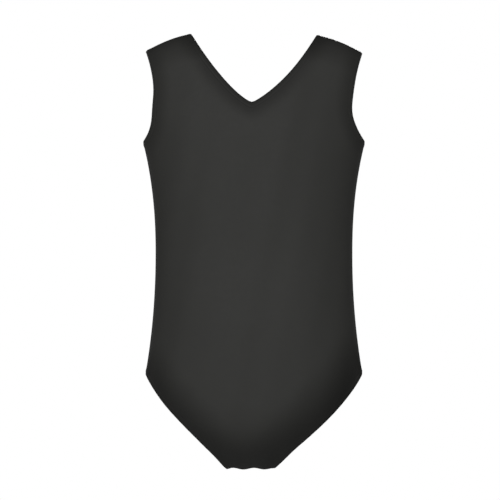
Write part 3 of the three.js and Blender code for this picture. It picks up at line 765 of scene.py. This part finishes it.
def panel_places(s, side):
    """(x, z) of a panel's grid. Columns spread from side to side by a sine, so they crowd at the sides. Rows run
    from the crotch seam to the hips, up the side seams, and on to the neckline and the shoulder seams, easing at
    both ends of the legs and of the armholes."""
    column = np.linspace(-1, 1, s.panel_columns + 1)
    across = np.sin(column * math.pi / 2)
    leg = mix(-s.body_length, -s.hip_depth, ease(np.linspace(0, 1, s.leg_rows + 1)))
    seam = mix(-s.hip_depth, -s.underarm_depth, np.linspace(0, 1, s.side_rows + 1)[1:])
    low = np.r_[leg, seam]
    low_x, low_z = half_width(s, low)[:, None] * across, np.repeat(low[:, None], len(column), 1)
    neck = front_neck if side == FRONT else back_neck
    out = np.abs(column)
    neck_x, neck_z = neck(s, np.clip(1 - out / ON_NECK, 0, 1) ** 2)
    shoulder_x = mix(s.neck_half, s.shoulder_half, np.clip((out - ON_NECK) / (1 - ON_NECK), 0, 1))
    on_neck = out <= ON_NECK
    top_x = np.where(on_neck, neck_x, shoulder_x)
    top_z = np.where(on_neck, neck_z, shoulder_line(s, shoulder_x))
    up = ease(np.linspace(0, 1, s.arm_rows + 1)[1:])[:, None]
    high_z = mix(-s.underarm_depth, top_z, up)
    high_x = mix(across, np.sign(column) * top_x / half_width(s, top_z), up) * half_width(s, high_z)
    return np.concatenate([low_x, high_x]), np.concatenate([low_z, high_z])


def seam_lines(s):
    """The lines where the two panels meet: both sides, both shoulders and the crotch."""
    t = np.linspace(0, 1, 260)
    z = mix(-s.underarm_depth, -s.hip_depth, t)
    x = mix(s.neck_half, s.shoulder_half, t)
    lines = []
    for sign in (-1, 1):
        lines.append(np.stack([sign * half_width(s, z), 0 * z, z], -1))
        lines.append(np.stack([sign * x, 0 * x, shoulder_line(s, x)], -1))
    lines.append(np.stack([mix(-1, 1, t) * s.crotch_half, 0 * t, 0 * t - s.body_length], -1))
    return lines


def beside_edges(s, x, z, side):
    """For places on one side of the garment: the distance to the nearest free edge, where along that edge, the
    pull of all the elastics together, and the painted shade, from 0 to 1, near the free edges and the crotch."""
    points = on_body(s, x, z, side).reshape(-1, 3)
    x, z = x.ravel(), z.ravel()
    distance, arc, pulled, unshaded = np.full(len(points), 1.0), 0.0, 0.0, 1.0
    for name in LOOPS:
        line, along, sides = edge_line(s, name)
        mine = sides == side
        mine |= np.roll(mine, 1) | np.roll(mine, -1)
        near, where = nearest_on(points, line[mine], along[mine])
        pulled = pulled + edge_pull(s, name, x, z, side, near)
        # painted shade from every free edge, put together
        unshaded = unshaded * (1 - painted_edge_shade(name, near))
        arc, distance = np.where(near < distance, where, arc), np.minimum(near, distance)
    return distance, arc, pulled, 1 - unshaded * (1 - painted_crotch_shade(s, z, side))


# Painted shade beside each free edge: how much it darkens the knit at the edge, and how far from the edge that
# reaches. The left leg, on the side away from the front light, gets more.
EDGE_SHADE = {
    "neck": (0.75, 0.03),
    "left_armhole": (0.45, 0.03),
    "right_armhole": (0.45, 0.03),
    "left_leg": (1.0, 0.075),
    "right_leg": (0.8, 0.05),
}
CROTCH_SHADE, CROTCH_SHADE_FROM = 0.95, (0.010, 0.070)  # painted shade on the front just above the crotch seam, where it curves under, by height above that seam


def painted_edge_shade(name, distance):
    """Painted shade beside a free edge at a distance: darkest at the edge, fading by a smooth cubic."""
    most, reach = EDGE_SHADE[name]
    return most * (1 - smooth(distance, 0, reach))


def painted_crotch_shade(s, z, side):
    """Painted shade on the front just above the crotch seam, where the cloth curves under, fading by a smooth
    cubic of the height.
    """
    return CROTCH_SHADE * (1 - smooth(z + s.body_length, *CROTCH_SHADE_FROM)) * (np.asarray(side) < 0)


def panel_shape(s, x, z, side):
    """A panel's outer face and its painted shade. The face stands off the body's surface by the bands beside the
    free edges, less quarter circles down into the edges and the seams."""
    distance, arc, pulled, painted_shade = beside_edges(s, x, z, side)
    points = on_body(s, x, z, side).reshape(-1, 3)
    to_seam = np.min([nearest_on(points, line, lengths(line))[0] for line in seam_lines(s)], axis=0)
    rise = band_rise(s, distance, arc) - quarter_round(distance, s.fold) - quarter_round(to_seam, s.seam_round)
    return on_body(s, x, z, side, rise.reshape(x.shape), pulled.reshape(x.shape)), painted_shade


def make_panel(context, name, node, side):
    """A panel: its settled outer face and the same face one thickness in."""
    s = context.scene.leotard_sizes
    x, z = panel_places(s, side)
    outer, painted_shade = panel_shape(s, x, z, side)
    mesh = shell(name, settle(s, outer), s.knit * (1 if side == FRONT else -1))
    # painted shade on both faces, for the knit's colour
    tell(mesh, np.tile(painted_shade, 2))
    return sew_on(context, mesh, "shell_knit", replaces=[node])


def edge_grid(s, name, reach, rise):
    """Points beside a free edge: columns at the distances in reach, each raised by rise and by what the elastic
    does there."""
    x, z, side = loop(s, name, reach)
    arc = arc_of(s, name)[:-1, None]
    pulled = edge_pull(s, name, x, z, side, np.asarray(reach))
    lift = gathers(s, arc) * (1 - smooth(np.asarray(reach), *GATHER_END))
    return settle(s, on_body(s, x, z, side, rise + lift, pulled))


def make_hem(context, edge):
    """The turned edge: its outer line is a half circle round the elastic that runs on flat inside; its inner line
    is the same, one thickness in."""
    s = context.scene.leotard_sizes
    turn = np.linspace(0, math.pi / 2, 7)
    flat = np.linspace(s.fold, s.hem_width, 9)[1:]
    rise_at_edge = band_rise(s, 0.0, np.zeros(1))[0] - gathers(s, np.zeros(1))[0]
    out_reach = np.r_[s.fold - s.fold * np.cos(turn), flat]
    out_rise = np.r_[-s.fold - s.fold * np.sin(turn), np.full(len(flat), -2 * s.fold)]
    inner = s.fold - s.knit
    in_reach = np.r_[flat[::-1], (s.fold - inner * np.cos(turn))[::-1]]
    in_rise = np.r_[np.full(len(flat), -2 * s.fold + s.knit), (-s.fold - inner * np.sin(turn))[::-1]]
    reach, rise = np.r_[out_reach, in_reach], np.r_[out_rise, in_rise] + rise_at_edge
    mesh = ring(f"{edge}_hem_fold", edge_grid(s, edge, reach, rise + GROOVE_INSIDE * groove(s, reach)))
    _, z, side = loop(s, edge, reach)
    # painted shade on the hem, darkest at the edge, and over the front near the crotch
    tell(mesh, 1 - (1 - painted_edge_shade(edge, reach)) * (1 - painted_crotch_shade(s, z, side)))
    return sew_on(context, mesh, "shell_knit", replaces=[f"{edge}_hem"])


def make_elastic(context, edge):
    """The elastic inside the fold: a flat rounded band with shallow ribs along it."""
    s = context.scene.leotard_sizes
    across = np.linspace(-1, 1, 13)
    half = (s.hem_width - s.fold - 0.0024) / 2
    thick = 0.00028 * (1 - across**6) + 0.00004 * np.cos(across * 4 * math.pi)
    reach = s.fold + half + 0.0002 + np.r_[across, across[::-1]] * half
    rise = -s.fold - 0.0001 + np.r_[thick, -thick[::-1]]
    mesh = ring(f"{edge}_elastic_band", edge_grid(s, edge, reach, rise))
    return sew_on(context, mesh, "edge_elastic", replaces=[f"{edge}_elastic"])


def make_hem_stitching(context, edge):
    """Two rows of straight stitches on the outside and a zigzag between them on the inside."""
    s = context.scene.leotard_sizes
    rows = np.array([s.first_row, s.second_row])
    arc = arc_of(s, edge)[:, None]
    above = band_rise(s, rows, arc[:-1]) - gathers(s, arc[:-1]) * (1 - smooth(rows, *GATHER_END))
    inside = -2 * s.fold + s.band_rise + GROOVE_INSIDE * s.groove
    starts, ends, lifts = [], [], []
    outer, inner = (edge_grid(s, edge, rows, above + h) for h in (0.5 * s.thread, 0.5 * s.thread + SINK))
    outer, inner = (np.concatenate([g, g[:1]]) for g in (outer, inner))
    for row in (0, 1):
        arc_row, at = spaced(outer[:, row], s.stitch, closed=True)
        half = s.stitch * STITCH_HALF
        a, b = (at_distance(outer[:, row], arc_row, (at + h) % arc_row[-1]) for h in (-half, half))
        lift = at_distance(inner[:, row], arc_row, at) - at_distance(outer[:, row], arc_row, at)
        starts.append(a), ends.append(b), lifts.append(lift)
    under, deeper = (edge_grid(s, edge, rows, inside + h) for h in (-0.5 * s.thread, -0.5 * s.thread - SINK))
    under, deeper = (np.concatenate([g, g[:1]]) for g in (under, deeper))
    arc_row, at = spaced(under[:, 0], s.stitch, closed=True)
    arc_far = arc_row / arc_row[-1] * lengths(under[:, 1])[-1]
    share = at / arc_row[-1]
    near = at_distance(under[:, 0], arc_row, at)
    far_at = (share + 0.5 / len(at)) * arc_far[-1]
    far = at_distance(under[:, 1], lengths(under[:, 1]), far_at)
    lift = at_distance(deeper[:, 0], arc_row, at) - near
    starts += [near, far]
    ends += [far, np.roll(near, -1, 0)]
    lifts += [lift, lift]
    name = f"{edge}_hem_stitches"
    mesh = stitches(name, *(np.concatenate(v) for v in (starts, ends, lifts)), s.thread / 2)
    return sew_on(context, mesh, "thread", replaces=[f"{edge}_stitching"])


def seam_frame(seam, inwards, low, high):
    """A seam's line between its two ends, and the way that its allowance reaches."""
    t = np.linspace(0, 1, 200)
    x, z = seam(mix(low, high, t))
    return np.stack([x, 0 * x, z], -1), np.broadcast_to(np.asarray(inwards, float), (200, 3))


def make_allowance(context, name, node, line, inwards):
    """An overlocked allowance: a flat bar that ripples softly towards its free edge, with thread wrapped round
    that edge in slanting loops."""
    s = context.scene.leotard_sizes
    arc = lengths(line)
    depth = np.linspace(0, 1, 9)
    half = s.allowance_thick / 2
    thick = half * np.sqrt(np.clip(1 - np.clip((depth - 0.9) / 0.1, 0, 1) ** 2, 0.05, 1))
    reach = np.r_[depth, depth[::-1]] * s.allowance + 0.0004
    thick = np.r_[thick, -thick[::-1]]
    ripple = 0.0005 * np.sin(2 * math.pi * arc / 0.021 + 0.8 * np.sin(arc / 0.05))

    def place(at_reach, height, ripple_at, base, way):
        """Points out from the seam by at_reach, off its plane by height plus the ripple, which grows with the
        square of the reach."""
        points = base + way * at_reach[..., None]
        points[..., 1] += height + ripple_at * (at_reach / s.allowance) ** 2
        return points

    grid = place(
        np.broadcast_to(reach, (len(line), len(reach))), thick[None], ripple[:, None], line[:, None],
        inwards[:, None],
    )
    cloth = bar(name, settle(s, grid))
    cloth_piece = sew_on(context, cloth, "shell_knit", replaces=[node])
    _, at = spaced(line, 0.0024)
    base, way = at_distance(line, arc, at), at_distance(inwards, arc, at)
    ripple_at = np.interp(at, arc, ripple)
    next_base = at_distance(line, arc, at + 0.0012)
    edge, back = s.allowance + 0.0006, s.allowance - 0.0034
    up = half + s.thread * 0.3

    def point(which, where, height):
        """The same for one place in each loop of thread."""
        return settle(s, place(np.full(len(at), where), np.full(len(at), height), ripple_at, which, way))

    starts = [point(base, back, up), point(base, edge, up * 0.6), point(base, edge, -up * 0.6)]
    ends = [point(next_base, edge, up * 0.6), point(base, edge, -up * 0.6), point(next_base, back, -up)]
    lifts = [np.tile([0.0, 1, 0], (len(at), 1)), way, np.tile([0.0, -1, 0], (len(at), 1))]
    mesh = stitches(f"{name}_thread", *(np.concatenate(v) for v in (starts, ends, lifts)), s.thread / 2)
    return cloth_piece, sew_on(context, mesh, "thread")


def seam_of(s, kind, sign):
    """A seam as a function to (x, z), the way its allowance reaches, and the two ends of its CAD allowance."""
    side = "left" if sign > 0 else "right"
    if kind == "side":
        low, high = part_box(f"{side}_side_seam")
        return (lambda z: (sign * half_width(s, z), z)), (-sign, 0, 0), low.z, high.z
    if kind == "shoulder":
        low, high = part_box(f"{side}_shoulder_seam")
        ends = sorted((abs(low.x), abs(high.x)))
        return (lambda x: (sign * x, shoulder_line(s, x))), (0, 0, -1), *ends
    low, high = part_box("crotch_seam")
    return (lambda x: (x, 0 * x - s.body_length)), (0, 0, 1), low.x, high.x


def make_tape(context, side, sign):
    """The clear stay tape in a shoulder seam: a thin bar with fine ribs, beside the allowance."""
    s = context.scene.leotard_sizes
    line, inwards = seam_frame(*seam_of(s, "shoulder", sign))
    low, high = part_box(f"{side}_shoulder_tape")
    across = np.linspace(0, 1, 11)
    ribs = 0.00004 * np.cos(across * 10 * math.pi)
    top, bottom = high.y - low.y + ribs, 0 * ribs
    reach = s.allowance + 0.0004 - 0.005 + np.r_[across, across[::-1]] * 0.005
    height = low.y - 0.0002 + np.r_[top, bottom[::-1]]
    trimmed = slice(4, -4)
    grid = line[trimmed, None] + inwards[trimmed, None] * reach[None, :, None]
    grid[..., 1] += height
    mesh = bar(f"{side}_shoulder_clear_tape", settle(s, grid))
    return sew_on(context, mesh, "stay_tape", replaces=[f"{side}_shoulder_tape"])


def gusset_half(s, z):
    """Half width of the lining: its cut, or less where it has to stay between the leg hems."""
    between = half_width(s, z) - s.crotch_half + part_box("crotch_seam")[1].x
    return np.minimum(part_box("crotch_gusset")[1].x, between)


def make_gusset(context):
    """The crotch lining: a sheet that lies along the inside of the front, between the leg hems."""
    s = context.scene.leotard_sizes
    low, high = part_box("crotch_gusset")
    z = mix(low.z, high.z, ease(np.linspace(0, 0.5, 61)) * 2)[:, None]
    x = np.linspace(-1, 1, 71) * gusset_half(s, z)
    x, z = np.broadcast_arrays(x, z)
    pulled = beside_edges(s, x, z, FRONT)[2].reshape(x.shape)
    outer = settle(s, on_body(s, x, z, FRONT, 0.00012 * np.sin(x / 0.004) - s.lining_depth, pulled))
    mesh = shell("crotch_lining", outer, s.lining)
    return sew_on(context, mesh, "lining_knit", replaces=["crotch_gusset"])


def make_gusset_stitching(context):
    """Two rows of short stitches across the lining, below its free edge."""
    s = context.scene.leotard_sizes
    starts, ends, lifts = [], [], []
    for z in (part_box("gusset_stitching")[0].z + 0.0002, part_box("gusset_stitching")[1].z - 0.0002):
        x = np.linspace(-1, 1, 200) * (gusset_half(s, z) - 0.001)
        pulled = beside_edges(s, x, z + 0 * x, FRONT)[2]
        line, deeper = (
            settle(s, on_body(s, x, z, FRONT, -s.lining_depth - s.lining - h, pulled)) for h in (0.0001, 0.0011)
        )
        arc, at = spaced(line, s.stitch)
        at = at[1:-1]
        starts.append(at_distance(line, arc, at - s.stitch * STITCH_HALF))
        ends.append(at_distance(line, arc, at + s.stitch * STITCH_HALF))
        lifts.append(at_distance(deeper, arc, at) - at_distance(line, arc, at))
    mesh = stitches("lining_stitches", *(np.concatenate(v) for v in (starts, ends, lifts)), s.thread / 2)
    return sew_on(context, mesh, "thread", replaces=["gusset_stitching"])


def make_label(context):
    """The blank satin label: a thin sheet that curls forward with the square of the way down."""
    low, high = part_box("care_label")
    t, across = np.meshgrid(np.linspace(0, 1, 33), np.linspace(-1, 1, 27), indexing="ij")
    x = across * (high.x - low.x) / 2
    y = (low.y + high.y) / 2 - 0.0016 * t**2 - 0.0005 * across**2 * t + 0.00012 * np.sin(9 * t + 2 * across)
    grid = np.stack([x, y, high.z + (low.z - high.z) * t], -1)
    mesh = shell("satin_label", grid, SATIN)
    return sew_on(context, mesh, "label_satin", "label", ["care_label"])


def make_label_stitching(context):
    """The label's sewn end: a strip of satin on the hem, clear of the label when that is turned up, and the
    stitches across it."""
    s = context.scene.leotard_sizes
    low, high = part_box("care_label")
    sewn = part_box("label_stitching")
    x = np.linspace(low.x, high.x, 29)[None] + np.zeros((9, 1))
    z = mix(high.z + 0.0003, sewn[1].z + 0.0012, np.linspace(0, 1, 9))[:, None] + 0 * x
    over_hem = smooth(z, high.z, high.z + 0.002)
    top = on_body(s, x, z, BACK, -2 * s.fold + s.band_rise - 0.0001)
    y = mix((low.y + high.y) / 2 + 0.0004, top[..., 1], over_hem)
    grid = np.stack([x, y, z], -1)
    end = shell("label_sewn_end", grid, -SATIN)
    strip = sew_on(context, end, "label_satin", replaces=["label_stitching"])
    row = (sewn[0].z + sewn[1].z) / 2
    at = np.arange(low.x + 0.002, high.x - 0.002, 0.0022)
    inside = on_body(s, at, row, BACK, -2 * s.fold + s.band_rise - 0.0004)
    along, lift = np.array([0.0009, 0, 0]), np.tile([0.0, -1, 0], (len(at), 1))
    mesh = stitches("label_stitches", inside - along, inside + along, lift, s.thread / 2)
    return strip, sew_on(context, mesh, "thread")


# ---------------------------------------------------------------- operators


class LEOTARD_OT_panels(bpy.types.Operator):
    """Sew the front and back panels"""

    bl_idname = "leotard.panels"
    bl_label = "Front and back panels"

    def execute(self, context):
        make_panel(context, "front_cloth", "front_panel", FRONT)
        make_panel(context, "back_cloth", "back_panel", BACK)
        return {"FINISHED"}


class LEOTARD_OT_hems(bpy.types.Operator):
    """Turn the free edges over their elastics and stitch them"""

    bl_idname = "leotard.hems"
    bl_label = "Hems, elastics and stitching"

    def execute(self, context):
        for edge in LOOPS:
            make_hem(context, edge)
            make_elastic(context, edge)
            make_hem_stitching(context, edge)
        return {"FINISHED"}


class LEOTARD_OT_seams(bpy.types.Operator):
    """Overlock the seam allowances and lay in the shoulder tapes"""

    bl_idname = "leotard.seams"
    bl_label = "Seam allowances and tapes"

    def execute(self, context):
        s = context.scene.leotard_sizes
        for side, sign in (("left", 1), ("right", -1)):
            for kind in ("side", "shoulder"):
                line = seam_frame(*seam_of(s, kind, sign))
                make_allowance(context, f"{side}_{kind}_allowance", f"{side}_{kind}_seam", *line)
            make_tape(context, side, sign)
        make_allowance(context, "crotch_allowance", "crotch_seam", *seam_frame(*seam_of(s, "crotch", 1)))
        return {"FINISHED"}


class LEOTARD_OT_gusset(bpy.types.Operator):
    """Lay in the crotch lining and stitch its free edge"""

    bl_idname = "leotard.gusset"
    bl_label = "Crotch lining"

    def execute(self, context):
        make_gusset(context)
        make_gusset_stitching(context)
        return {"FINISHED"}


class LEOTARD_OT_label(bpy.types.Operator):
    """Sew the blank label inside the back neck"""

    bl_idname = "leotard.label"
    bl_label = "Label"

    def execute(self, context):
        make_label(context)
        make_label_stitching(context)
        return {"FINISHED"}


class LEOTARD_OT_declare(bpy.types.Operator):
    """List the pieces that lie inside the garment and measure the length round each opening; neither result is
    used
    """

    bl_idname = "leotard.declare"
    bl_label = "Flat sizes"

    def execute(self, context):
        s = context.scene.leotard_sizes
        inside = [f"{e}_elastic_band" for e in LOOPS] + [f"{e}_hem_stitches" for e in LOOPS]
        inside += [
            f"{side}_{kind}{end}"
            for side in ("left", "right")
            for kind, end in (
                ("side_allowance", ""), ("side_allowance", "_thread"), ("shoulder_allowance", ""),
                ("shoulder_allowance", "_thread"), ("shoulder_clear_tape", ""),
            )
        ]
        for edge in LOOPS:
            round_it = float(arc_of(s, edge)[-1])
        return {"FINISHED"}


class LEOTARD_OT_stage(bpy.types.Operator):
    """Set up the pale floor below the garment, the white surround, the soft lights and the camera"""

    bl_idname = "leotard.stage"
    bl_label = "Stage"

    def execute(self, context):
        scene = context.scene
        span = np.linspace(-0.6, 0.6, 9)
        grid = np.stack(np.broadcast_arrays(span[None], span[:, None], -1.4), -1)
        ground = bpy.data.objects.new("floor", shell("floor", grid, 0.01))
        scene.collection.objects.link(ground)
        floor = new_material("floor", scene.leotard_colours.floor, 0.9)
        nodes, links = floor.node_tree.nodes, floor.node_tree.links
        place, cloud, ramp = (nodes.new(f"ShaderNode{k}") for k in ("TexCoord", "TexNoise", "MapRange"))
        cloud.inputs["Scale"].default_value = 3
        ramp.inputs["To Min"].default_value, ramp.inputs["To Max"].default_value = 0.88, 0.92
        links.new(place.outputs["Object"], cloud.inputs["Vector"])
        links.new(cloud.outputs["Fac"], ramp.inputs["Value"])
        links.new(ramp.outputs["Result"], nodes["Principled BSDF"].inputs["Roughness"])
        ground.data.materials.append(floor)
        scene.view_settings.view_transform = "Standard"
        scene.world = scene.world or bpy.data.worlds.new("world")
        scene.world.use_nodes = True
        nodes, links = scene.world.node_tree.nodes, scene.world.node_tree.links
        white, fill, rays, pick = (
            nodes["Background"],
            *(nodes.new(f"ShaderNode{k}") for k in ("Background", "LightPath", "MixShader")),
        )
        for part, strength in ((white, 1.0), (fill, 0.08)):
            part.inputs["Color"].default_value = (1, 1, 1, 1)
            part.inputs["Strength"].default_value = strength
        links.new(rays.outputs["Is Camera Ray"], pick.inputs[0])
        links.new(fill.outputs["Background"], pick.inputs[1])
        links.new(white.outputs["Background"], pick.inputs[2])
        links.new(pick.outputs["Shader"], nodes["World Output"].inputs["Surface"])
        aim = Vector((0, 0, -0.3))
        for name, place, size, power in (
            ("front_light", (-0.25, -2.7, 0.10), 0.6, 53.5),
            ("back_light", (0.42, 2.7, 0.75), 0.6, 54),
            ("left_light", (2.0, 1.7, 0.2), 1.0, 7),
            ("right_light", (-2.0, 1.7, 0.2), 1.0, 7),
        ):
            light = bpy.data.lights.new(name, "AREA")
            light.size, light.energy = size, power
            lamp = bpy.data.objects.new(name, light)
            scene.collection.objects.link(lamp)
            lamp.location = place
            lamp.rotation_euler = (aim - lamp.location).to_track_quat("-Z", "Y").to_euler()
        camera = bpy.data.objects.new("camera", bpy.data.cameras.new("camera"))
        scene.collection.objects.link(camera)
        away, seen = 2.6, 0.6895  # distance, and width of the picture there
        camera.data.sensor_width, camera.data.lens = 36, 36 * away / seen
        camera.location = (-0.0055, -away, -0.2992)
        camera.rotation_euler = (math.pi / 2, 0, 0)
        scene.camera = camera
        return {"FINISHED"}


class LEOTARD_PT_panel(bpy.types.Panel):
    """The garment's sizes, colours and steps"""

    bl_label = "Leotard"
    bl_space_type = "VIEW_3D"
    bl_region_type = "UI"
    bl_category = "Leotard"

    def draw(self, context):
        for kind in OPERATORS:
            self.layout.operator(kind.bl_idname)
        for group in (context.scene.leotard_colours, context.scene.leotard_sizes):
            column = self.layout.column()
            for name in group.bl_rna.properties.keys():
                if name not in ("rna_type", "name"):
                    column.prop(group, name)


OPERATORS = (
    LEOTARD_OT_panels,
    LEOTARD_OT_hems,
    LEOTARD_OT_seams,
    LEOTARD_OT_gusset,
    LEOTARD_OT_label,
    LEOTARD_OT_declare,
    LEOTARD_OT_stage,
)
CLASSES = (LeotardSizes, LeotardColours, *OPERATORS, LEOTARD_PT_panel)


def register():
    """Add the classes and the garment's settings."""
    for kind in CLASSES:
        bpy.utils.register_class(kind)
    bpy.types.Scene.leotard_sizes = PointerProperty(type=LeotardSizes)
    bpy.types.Scene.leotard_colours = PointerProperty(type=LeotardColours)


def unregister():
    """Take them away again."""
    del bpy.types.Scene.leotard_colours
    del bpy.types.Scene.leotard_sizes
    for kind in reversed(CLASSES):
        bpy.utils.unregister_class(kind)


def main():
    """Sew the garment step by step."""
    register()
    bpy.ops.leotard.panels()
    bpy.ops.leotard.hems()
    bpy.ops.leotard.seams()
    bpy.ops.leotard.gusset()
    bpy.ops.leotard.label()
    bpy.ops.leotard.declare()
    bpy.ops.leotard.stage()


if __name__ == "__main__":
    main()
